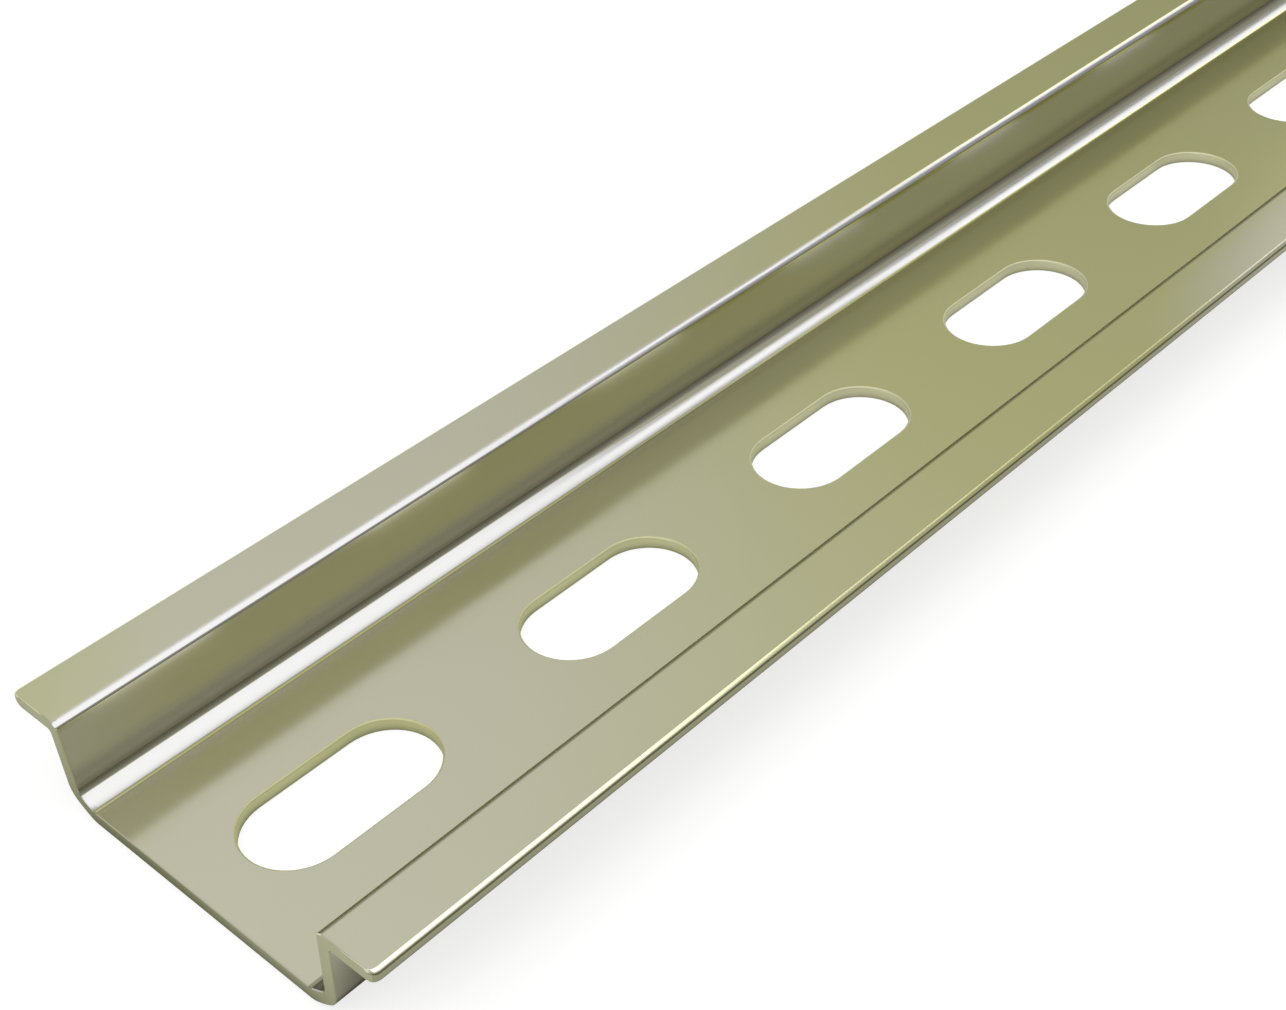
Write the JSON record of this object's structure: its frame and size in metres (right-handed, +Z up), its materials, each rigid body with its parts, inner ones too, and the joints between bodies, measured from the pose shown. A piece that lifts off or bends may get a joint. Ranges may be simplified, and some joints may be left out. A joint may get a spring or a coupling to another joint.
{
  "type": "din rail",
  "caption": "Straight top-hat mounting rail rolled from steel strip, with side flanges for clip-on devices and oblong fixing slots along its base.",
  "frame": {"origin": "middle of the base's underside", "axes": "+X along the rail, +Y across it, +Z up from the base to the flanges"},
  "size_m": [0.5, 0.035, 0.0075],
  "materials": {
    "plated_steel": "smooth satin, yellow-passivated zinc plating"
  },
  "bodies": {
    "root": {"top_hat_rail": "plated_steel"}
  },
  "joints": []
}
